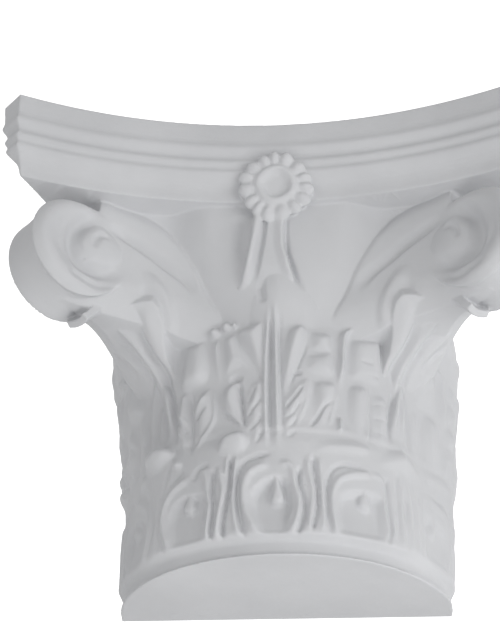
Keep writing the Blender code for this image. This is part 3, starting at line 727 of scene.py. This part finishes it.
# Relief on the scroll's face: places (reach, height), half width and rise, negative for a hollow
scroll_relief = (
    # Hollow that winds round the eye, deepest on its outer side
    ([(824, 1040), (873, 1029), (917, 976), (930, 920), (908, 869), (848, 852), (787, 872), (757, 915)],
     40, -24),
    # Fine second turn, and the curl of the eye
    ([(957, 820), (913, 805), (844, 804), (759, 840)], 22, -9),
    ([(862, 920), (853, 962), (830, 985), (800, 980)], 18, -10),
    # Groove along the stalk, the broad band above it, and the ridge below it
    ([(530, 835), (570, 900), (620, 945), (670, 985), (720, 1012), (765, 1030), (815, 1034)], 26, -18),
    ([(500, 820), (535, 930), (585, 1010), (645, 1058), (710, 1085), (780, 1092), (850, 1080),
     (930, 1050)], 90, 12),
    ([(575, 680), (592, 740), (617, 800), (655, 870), (690, 915)], 32, 14),
    ([(610, 700), (650, 790), (690, 865)], 26, -8),
)
scroll_eye = (0.830, 0.945)
scroll_eye_radius = 0.074
scroll_eye_rise = 0.020
scroll_eye_power = 0.8
scroll_relief_steepness = 4.0
plain_back_share = 0.6
scroll_back_shift = (-0.016, -0.014)

# Edges of the stalk and the cheek between the bell and the scroll: reach, height
stalk_top_edge = (
    (420, 740), (470, 810), (510, 900), (556, 1005), (612, 1095), (670, 1145), (756, 1165), (830, 1160),
    (900, 1110),
)
stalk_low_edge = (
    (420, 690), (460, 690), (520, 705), (580, 725), (650, 745), (730, 755), (820, 756), (900, 756),
)
stalk_steps = 60
stalk_rings_per_point = 12
stalk_top_round = 0.075
stalk_top_fall = 0.030
stalk_low_round = 0.110
stalk_low_fall = 0.050


def diagonal_points(side, reach, sideways, heights):
    """Points of a corner's vertical plane, in metres; sideways runs towards the front middle."""
    half = math.sqrt(0.5)
    reach, sideways, heights = np.broadcast_arrays(reach, sideways, heights)
    return np.column_stack([half * side * (reach - sideways), -half * (reach + sideways), heights])


def directions_along(line):
    """Unit direction of a line at each of its points."""
    ways = np.gradient(line, axis=0)
    return ways / np.linalg.norm(ways, axis=1, keepdims=True)


def with_strokes(relief, strokes, x, z, scale, steepness, blunt):
    """Relief with the ridges and grooves of a table added."""
    for points, half_width, rise in strokes:
        distance, share = distance_to(smooth_line(np.array(points) / diameter_parts * scale), x, z)
        profile = rise / diameter_parts * swell(distance, half_width / diameter_parts)
        relief = relief + profile * ease(share * steepness + blunt) * ease((1.0 - share) * steepness + blunt)
    return relief


def scroll_face(reach, height, relief_share=1.0):
    """How far the scroll's and the stalk's faces stand from the corner's plane."""
    flare = np.clip((stalk_flare_reach[1] - reach) / (stalk_flare_reach[1] - stalk_flare_reach[0]), 0.0, 1.0)
    face = scroll_face_offset + stalk_flare * flare ** stalk_flare_power
    radius = np.hypot(reach - scroll_centre[0], height - scroll_centre[1])
    on_ring = ease((reach - ring_from_reach[0]) / (ring_from_reach[1] - ring_from_reach[0]))
    relief = ring_rise * swell(radius - ring_radius, ring_half_width) * on_ring
    beyond = np.clip((radius - edge_fall_radius) / (scroll_face_radius - edge_fall_radius), 0.0, 1.0)
    relief -= edge_fall * beyond ** 2 * on_ring
    relief = with_strokes(relief, scroll_relief, reach, height, 1.0, scroll_relief_steepness, 0.0)
    from_eye = np.hypot(reach - scroll_eye[0], height - scroll_eye[1]) / scroll_eye_radius
    relief += scroll_eye_rise * np.clip(1.0 - from_eye ** 2, 0.0, 1.0) ** scroll_eye_power
    return face + relief_share * relief


def rolled_scroll(side):
    """Rolled end of the scroll: a ring, a hollow and a raised eye on both faces, plainer at the back."""
    turns = 2.0 * math.pi * np.arange(scroll_steps) / scroll_steps
    circle = [np.cos(turns), np.sin(turns)]
    radii = scroll_face_radius * np.concatenate([np.linspace(*part) for part in scroll_rings])
    rings = []
    for radius in radii:
        reach, height = [middle + radius * way for middle, way in zip(scroll_centre, circle)]
        rings.append(diagonal_points(side, reach, scroll_face(reach, height), height))
    rim = np.array(scroll_rim) / diameter_parts
    for sideways, radius in rim:
        back = (rim[0, 0] - sideways) / (rim[0, 0] - rim[-1, 0])
        reach, height = [middle + back * shift + radius * way
                         for middle, shift, way in zip(scroll_centre, scroll_back_shift, circle)]
        rings.append(diagonal_points(side, reach, sideways, height))
    for radius in radii[::-1]:
        reach, height = [middle + shift + scroll_back_share * radius * way
                         for middle, shift, way in zip(scroll_centre, scroll_back_shift, circle)]
        rings.append(diagonal_points(side, reach, -scroll_face(reach, height, plain_back_share), height))
    return skinned_mesh("scroll", [ring * foot_diameter for ring in rings])


def scroll_stalk(side):
    """Stalk and cheek that carry the scroll: broad at the bell, as thin as the scroll beside it."""
    top, low = [smooth_line(np.array(edge) / diameter_parts, stalk_rings_per_point)
                for edge in (stalk_top_edge, stalk_low_edge)]
    shares = np.linspace(0.0, 1.0, stalk_steps)
    rings = []
    for upper, lower in zip(top, low):
        reach = mix(lower[0], upper[0], shares)
        height = mix(lower[1], upper[1], shares)
        width = np.linalg.norm(upper - lower)
        fall = stalk_top_fall * (1.0 - np.clip((1.0 - shares) * width / stalk_top_round, 0.0, 1.0)) ** 2
        fall += stalk_low_fall * (1.0 - np.clip(shares * width / stalk_low_round, 0.0, 1.0)) ** 2
        front = diagonal_points(side, reach, scroll_face(reach, height) - fall, height)
        back_face = fall - scroll_face(reach, height, plain_back_share)
        back = diagonal_points(side, reach, back_face, height)[::-1]
        rings.append(foot_diameter * np.vstack([front, back]))
    return skinned_mesh("scroll stalk", rings)


# Corner leaves: sizes in metres, tables in thousandths, and the curl as a share

corner_leaf_foot_sink = 0.0046
corner_leaf_foot_height = 0.083
corner_leaf_tip = (0.1700, 0.1800)
corner_leaf_lip = (0.0190, -0.0180)
corner_leaf_body = 0.0140
corner_leaf_curl = 0.28
corner_leaf_columns = 81
corner_leaf_steps = 16
corner_leaf_relief_steepness = 5.0
corner_leaf_blunt_end = 0.1

# The body thins from a share of the spine, over a share of it, to a share of its depth
corner_leaf_thins = (0.45, 0.5, 0.38)

# Back of the leaf: its width as a share of the front's, with one point for so many of the front's
corner_leaf_back_share = 0.92
corner_leaf_back_step = 5

# Bends of the spine, as shares of the way out and up from its foot to its tip
corner_leaf_knee = (0.09, 0.50)
corner_leaf_bend = (0.53, 0.83)

# Width of the leaf towards the front and towards the wall: share of the spine in thousandths, width
corner_leaf_front_widths = (
    (0, 50), (230, 60), (370, 75), (440, 92), (500, 112), (550, 128), (600, 138), (640, 132), (670, 108),
    (700, 66), (750, 44), (880, 38), (1000, 34),
)
corner_leaf_wall_widths = (
    (0, 75), (120, 115), (250, 127), (380, 156), (500, 152), (620, 139), (750, 130), (880, 85),
    (1000, 50),
)

# Relief of the leaf: places (thousandths of the spine, offset towards the front), half width and rise
corner_leaf_relief = (
    # Midrib with a groove on either side
    ([(930, 22), (800, 4), (700, -10), (620, -6), (520, 8), (440, 12), (360, 18), (230, 18), (50, 18)],
     22, 12),
    ([(685, 88), (650, 68), (594, 49), (516, 40), (438, 38), (375, 42), (234, 40), (50, 40)], 20, -14),
    ([(640, -50), (560, -43), (516, -26), (422, -18), (344, -16), (281, -22), (150, -30)], 20, -13),
    # Veins on the side of the wall
    ([(600, -110), (484, -62), (406, -46)], 20, 9),
    ([(540, -130), (450, -88), (370, -66)], 20, -9),
    ([(438, -150), (359, -128), (297, -108), (230, -90)], 22, 9),
    ([(380, -160), (310, -140), (250, -124)], 20, -8),
    # Blade on the side of the front
    ([(640, 118), (560, 92), (460, 72), (350, 62)], 40, 10),
)


def corner_leaf_spine():
    """Spine in the corner's plane: up the bell, out to the tip, and over into the hanging lip."""
    foot = np.array([foot_radius - corner_leaf_foot_sink, corner_leaf_foot_height])
    tip = np.array(corner_leaf_tip)
    bends = [mix(foot, tip, np.array(shares)) for shares in (corner_leaf_knee, corner_leaf_bend)]
    return smooth_line([foot, *bends, tip, tip + corner_leaf_lip], corner_leaf_steps)


def corner_leaf(side):
    """Leaf in a corner's plane: a midrib, a blade hooked towards the front, and a tip turned over."""
    line = corner_leaf_spine()
    ways = directions_along(line)
    shares = np.linspace(0.0, 1.0, len(line))
    spine_length = np.linalg.norm(np.diff(line, axis=0), axis=1).sum() / foot_diameter
    towards_front, towards_wall = [np.interp(shares, *(np.array(widths).T / diameter_parts))
                                   for widths in (corner_leaf_front_widths, corner_leaf_wall_widths)]
    thins_from, thins_over, thin_share = corner_leaf_thins
    bodies = corner_leaf_body * mix(1.0, thin_share, ease((shares - thins_from) / thins_over))
    parts = np.sin(np.linspace(-0.5, 0.5, corner_leaf_columns) * np.pi)
    offsets = np.where(parts > 0.0, parts * towards_front[:, None], parts * towards_wall[:, None])
    widest = np.maximum(towards_front, towards_wall)[:, None]
    falls = corner_leaf_curl * offsets ** 2 / widest
    lengths = np.broadcast_to(shares[:, None] * spine_length, offsets.shape)
    rises = with_strokes(np.zeros(offsets.shape), corner_leaf_relief, lengths, offsets, [spine_length, 1.0],
                         corner_leaf_relief_steepness, corner_leaf_blunt_end)
    rings = []
    for place, way, body, offset, fall, rise in zip(line, ways, bodies, offsets, falls, rises):
        out = (rise - fall) * foot_diameter
        across = offset * foot_diameter
        front = diagonal_points(side, place[0] + way[1] * out, across, place[1] - way[0] * out)
        sink = body + fall[::-corner_leaf_back_step] * foot_diameter
        across = corner_leaf_back_share * across[::-corner_leaf_back_step]
        back = diagonal_points(side, place[0] - way[1] * sink, across, place[1] + way[0] * sink)
        rings.append(np.vstack([front, back]))
    return skinned_mesh("corner leaf", rings)


# Daisy

daisy_radius = 0.0274
daisy_squash = 0.92
daisy_sideways = 0.0008
daisy_height = 0.2678
daisy_reach = 0.1475
daisy_slope = 0.33
daisy_petals = 15
daisy_points_per_petal = 14
daisy_petal_power = 0.9
daisy_valley_share = 0.15

# Notches between the petals: share of the radius that they leave, where they begin and over how much
daisy_notch = (0.88, 0.75, 0.25)

# The daisy isn't quite even: sway of the petals three and five times round, of the radius four times
daisy_sway = (0.05, 0.03)
daisy_radius_sway = 0.03

# Root of the daisy: share of the way back, share of the radius
daisy_root = ((0.20, 0.96), (0.50, 0.88), (0.80, 0.80), (1.0, 0.74))
daisy_root_notch = 0.90

# Face of the daisy: share of the radius in hundredths, then how far the middle with its ring and the
# petals stand out, in tenths of a millimetre
daisy_face = (
    (2, 8, 0), (12, 7, 0), (22, 8, 0), (30, 14, 0), (36, 28, 0), (42, 42, 0), (47, 44, 0), (52, 36, 0),
    (57, 20, 4), (61, 8, 18), (67, 0, 34), (74, 0, 40), (82, 0, 38), (90, 0, 30), (96, 0, 16),
    (100, 0, -4),
)


def daisy():
    """Daisy that leans out at the top: rounded petals, not quite even, round a ring with a hollow middle."""
    count = daisy_petals * daisy_points_per_petal
    turns = 2.0 * math.pi * np.arange(count) / count
    uneven = turns + daisy_sway[0] * np.sin(3.0 * turns + 1.0) + daisy_sway[1] * np.sin(5.0 * turns)
    petal = np.abs(np.cos(0.5 * daisy_petals * uneven)) ** daisy_petal_power
    reach = daisy_radius * (1.0 + daisy_radius_sway * np.sin(4.0 * turns + 0.5))
    notch_share, notch_from, notch_over = daisy_notch
    rings = []
    for share, middle, blade in np.array(daisy_face) / [hundredths, metre_parts, metre_parts]:
        notch = mix(1.0, mix(notch_share, 1.0, petal), float(ease((share - notch_from) / notch_over)))
        up = daisy_squash * reach * share * notch * np.cos(turns)
        out = daisy_reach + daisy_slope * up + middle + blade * mix(daisy_valley_share, 1.0, petal)
        across = daisy_sideways + reach * share * notch * np.sin(turns)
        rings.append(np.column_stack([across, -out, daisy_height + up]))
    root = slab_middle_reach - web_inset - overlap
    for depth_share, radius_share in daisy_root:
        radius = reach * radius_share * mix(daisy_root_notch, 1.0, petal)
        up = daisy_squash * radius * np.cos(turns)
        out = mix(daisy_reach + daisy_slope * up, root, depth_share)
        rings.append(np.column_stack([daisy_sideways + radius * np.sin(turns), -out, daisy_height + up]))
    return skinned_mesh("daisy", rings)


# Tail, in tenths of a millimetre: height above the foot, left ridge, right edge, and how far it stands
# out at the ridge, between them and at the right
tail_rows = (
    (2500, -126, 51, 80, 55, 70), (2442, -134, 50, 92, 56, 74), (2338, -149, 46, 100, 50, 74),
    (2250, -166, 48, 100, 40, 68), (2126, -192, 78, 84, 30, 58), (2040, -216, 104, 38, 6, 26),
    (1970, -238, 128, -12, -20, -12),
)
tail_ridge_half_width = 0.0052
tail_side_half_width = 0.0070
tail_groove_half_width = 0.0034
tail_groove_depth = 0.0036
tail_steps_per_row = 8
tail_columns = 61

# Place of the groove, and where the ridge's left side falls and over how much, in ridge half widths
tail_groove_place = 1.1
tail_fall_from = 0.3
tail_fall_over = 0.7

tail_margin = 0.0030
tail_sink = 0.0040
tail_root = 0.0120


def daisy_tail():
    """Tail under the daisy: a round ridge on the left with a groove beside it, and a softer right side."""
    ridge = tail_ridge_half_width
    rings = []
    for row in smooth_line(np.array(tail_rows) / metre_parts, tail_steps_per_row):
        height, left, right, left_rise, middle_rise, right_rise = row
        across = np.linspace(left - ridge, right + tail_margin, tail_columns)
        surface = float(bell_radius(0.0, height))
        out = middle_rise + (left_rise - middle_rise) * swell(across - left, ridge)
        out += (right_rise - middle_rise) * ease((across - right) / tail_side_half_width + 1.0)
        out -= tail_groove_depth * swell(across - left - tail_groove_place * ridge, tail_groove_half_width)
        out = mix(out, -tail_sink, ease((across - right) / tail_margin))
        out = mix(out, -tail_sink, ease((left - tail_fall_from * ridge - across) / (tail_fall_over * ridge)))
        front = np.column_stack([across, -surface - out, np.full(len(across), height)])
        back = [[0.5 * end, tail_root - surface, height] for end in (right, left)]
        rings.append(np.vstack([front, back]))
    return skinned_mesh("daisy tail", rings)


# One casting

def cast(shapes):
    """Melts the overlapping shapes into one skin, cut flat at the wall and kept in the casting's box."""
    work = bmesh.new()
    for shape in shapes:
        work.from_mesh(shape.data)
    joined = bpy.data.meshes.new("plaster_casting")
    work.to_mesh(joined)
    work.free()
    casting = linked("plaster_casting", joined)
    for shape in shapes:
        bpy.data.objects.remove(shape)
    remesh = casting.modifiers.new("melt", "REMESH")
    remesh.mode = "VOXEL"
    remesh.voxel_size = voxel
    soften = casting.modifiers.new("soften", "SMOOTH")
    soften.factor = 0.5
    soften.iterations = 2
    settle(casting)
    triangles = 2 * len(casting.data.polygons)
    if triangles > most_triangles:
        thin_out = casting.modifiers.new("thin out", "DECIMATE")
        thin_out.ratio = most_triangles / triangles
        settle(casting)
    cut_at_wall(casting)
    return casting


def settle(casting):
    """Applies the casting's modifiers to its mesh."""
    depsgraph = bpy.context.evaluated_depsgraph_get()
    mesh = bpy.data.meshes.new_from_object(casting.evaluated_get(depsgraph))
    casting.modifiers.clear()
    casting.data = mesh


def cut_at_wall(casting):
    """Cuts the casting flat at the wall's face, and keeps every point inside the casting's box."""
    work = bmesh.new()
    work.from_mesh(casting.data)
    everything = work.verts[:] + work.edges[:] + work.faces[:]
    bmesh.ops.bisect_plane(work, geom=everything, plane_co=(0.0, 0.0, 0.0), plane_no=(0.0, 1.0, 0.0),
                           clear_outer=True)
    border = [edge for edge in work.edges if edge.is_boundary]
    bmesh.ops.holes_fill(work, edges=border, sides=0)
    for edge in border:
        edge.smooth = False
    bmesh.ops.triangulate(work, faces=[face for face in work.faces if len(face.verts) > 4])
    for vert in work.verts:
        vert.co = [min(max(place, low), high) for place, low, high in zip(vert.co, low_corner, high_corner)]
    for face in work.faces:
        face.smooth = True
    work.to_mesh(casting.data)
    work.free()


# Plaster

plaster_roughness = 0.82
plaster_gloss = 0.25

# Clouds: place on the noise, colour
cloud_colours = ((0.32, (0.60, 0.605, 0.62, 1.0)), (0.68, (0.65, 0.655, 0.67, 1.0)))

# Noises of the clouds, the grain and the lumps, and bumps of the grain and the lumps, in metres
plaster_noises = (
    {"Scale": 14.0, "Detail": 4.0}, {"Scale": 900.0, "Detail": 3.0}, {"Scale": 90.0, "Detail": 2.0},
)
plaster_bumps = ({"Strength": 0.25, "Distance": 0.0002}, {"Strength": 0.35, "Distance": 0.0010})


def new_node(nodes, kind, values):
    """New shader node with some of its inputs set."""
    made = nodes.new(kind)
    for name, value in values.items():
        made.inputs[name].default_value = value
    return made


def plaster():
    """Matt white plaster: faintly clouded, finely grained and a little lumpy."""
    material = bpy.data.materials.new("plaster")
    material.use_nodes = True
    nodes = material.node_tree.nodes
    links = material.node_tree.links
    shader = nodes["Principled BSDF"]
    shader.inputs["Roughness"].default_value = plaster_roughness
    shader.inputs["Specular IOR Level"].default_value = plaster_gloss
    place = nodes.new("ShaderNodeTexCoord")
    tint = nodes.new("ShaderNodeValToRGB")
    for element, (position, colour) in zip(tint.color_ramp.elements, cloud_colours):
        element.position = position
        element.color = colour
    clouds, grain, lumps = [new_node(nodes, "ShaderNodeTexNoise", values) for values in plaster_noises]
    fine, coarse = [new_node(nodes, "ShaderNodeBump", values) for values in plaster_bumps]
    for noise in (clouds, grain, lumps):
        links.new(place.outputs["Object"], noise.inputs["Vector"])
    links.new(clouds.outputs["Fac"], tint.inputs["Fac"])
    links.new(tint.outputs["Color"], shader.inputs["Base Color"])
    links.new(lumps.outputs["Fac"], coarse.inputs["Height"])
    links.new(grain.outputs["Fac"], fine.inputs["Height"])
    links.new(coarse.outputs["Normal"], fine.inputs["Normal"])
    links.new(fine.outputs["Normal"], shader.inputs["Normal"])
    return material


# Studio

# Camera, in degrees, foot diameters, the photograph's pixels and millimetres of the sensor
view_tilt = 31.324
view_turn = 1.363
view_roll = -0.136
view_shift = (-0.0904, 0.160)
focal_pixels = 1285.4
photo_height_pixels = 640.0
view_target = (0.0, -0.35, 0.70)
camera_distance = 4.0
sensor_height = 36.0


def camera():
    """Camera below the casting, looking up at it as the photograph does."""
    tilt = math.radians(view_tilt)
    turn = math.radians(view_turn)
    target = Vector(view_target)
    back = Vector((math.sin(turn) * math.cos(tilt), -math.cos(turn) * math.cos(tilt), -math.sin(tilt)))
    eye = target + camera_distance * back
    forward = (target + Vector((view_shift[0], 0.0, view_shift[1])) - eye).normalized()
    right = forward.cross(Vector((0.0, 0.0, 1.0))).normalized()
    up = right.cross(forward)
    roll = Matrix.Rotation(math.radians(view_roll), 3, forward)
    place = eye * foot_diameter + Vector((0.0, 0.0, foot_level))
    data = bpy.data.cameras.new("camera")
    data.sensor_fit = "VERTICAL"
    data.sensor_height = sensor_height
    data.lens = focal_pixels * sensor_height / photo_height_pixels
    made = linked("camera", data)
    turned = Matrix((roll @ right, roll @ up, -forward)).transposed()
    made.matrix_world = Matrix.Translation(place) @ turned.to_4x4()
    bpy.context.scene.camera = made


# Floor, in metres
floor_half = 30.0
floor_level = -0.70
floor_colour = (0.86, 0.86, 0.86, 1.0)


def floor():
    """Plain pale floor well below the casting."""
    corners = [(floor_half * x, floor_half * y, floor_level)
               for x, y in ((-1, -1), (1, -1), (1, 1), (-1, 1))]
    mesh = bpy.data.meshes.new("floor")
    mesh.from_pydata(corners, [], [(0, 1, 2, 3)])
    made = linked("floor", mesh)
    material = bpy.data.materials.new("floor")
    material.use_nodes = True
    material.node_tree.nodes["Principled BSDF"].inputs["Base Color"].default_value = floor_colour
    mesh.materials.append(material)


def light(name, place, size, power):
    """Square soft light that faces the casting."""
    data = bpy.data.lights.new(name, "AREA")
    data.size = size
    data.energy = power
    made = linked(name, data)
    made.location = place
    made.rotation_euler = (-Vector(place)).to_track_quat("-Z", "Y").to_euler()


# Lights: name, place, size, power
lights = (
    ("right light", (1.2, -0.9, -0.4), 1.0, 8.8),
    ("upper left light", (-1.0, -1.0, 1.1), 0.5, 1.8),
    ("lower left light", (-0.9, -1.2, -0.6), 0.6, 2.0),
    ("low light", (0.05, -0.30, -0.50), 0.3, 0.38),
)

# Strength of the surroundings in each direction: right, left, back, front, above
surroundings = (
    ((1.0, 0.0, 0.0), 0.44), ((-1.0, 0.0, 0.0), 0.12), ((0.0, 1.0, 0.0), 1.40), ((0.0, -1.0, 0.0), 0.29),
    ((0.0, 0.0, 1.0), 0.30),
)


def studio():
    """Pale surroundings, brightest behind the casting, a soft light from the right and three weak ones."""
    world = bpy.data.worlds.new("studio")
    world.use_nodes = True
    nodes = world.node_tree.nodes
    links = world.node_tree.links
    way = nodes.new("ShaderNodeTexCoord")
    total = None
    for direction, strength in surroundings:
        facing = new_node(nodes, "ShaderNodeVectorMath", {1: direction})
        facing.operation = "DOT_PRODUCT"
        part = new_node(nodes, "ShaderNodeMapRange", {"To Max": strength})
        links.new(way.outputs["Generated"], facing.inputs[0])
        links.new(facing.outputs["Value"], part.inputs["Value"])
        if total is None:
            total = part.outputs["Result"]
            continue
        add = nodes.new("ShaderNodeMath")
        links.new(total, add.inputs[0])
        links.new(part.outputs["Result"], add.inputs[1])
        total = add.outputs["Value"]
    links.new(total, nodes["Background"].inputs["Strength"])
    nodes["Background"].inputs["Color"].default_value = (1.0, 1.0, 1.0, 1.0)
    bpy.context.scene.world = world
    bpy.context.scene.view_settings.view_transform = "Standard"
    for own in lights:
        light(*own)


camera()
floor()
studio()
shapes = [carved_bell(), moulded_slab(), daisy_tail(), daisy()]
for side in (-1.0, 1.0):
    shapes += [corner_leaf(side), rolled_scroll(side), scroll_stalk(side)]
piece = cast(shapes)
piece.data.materials.clear()
piece.data.materials.append(plaster())
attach(piece, "root")
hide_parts("corbel")
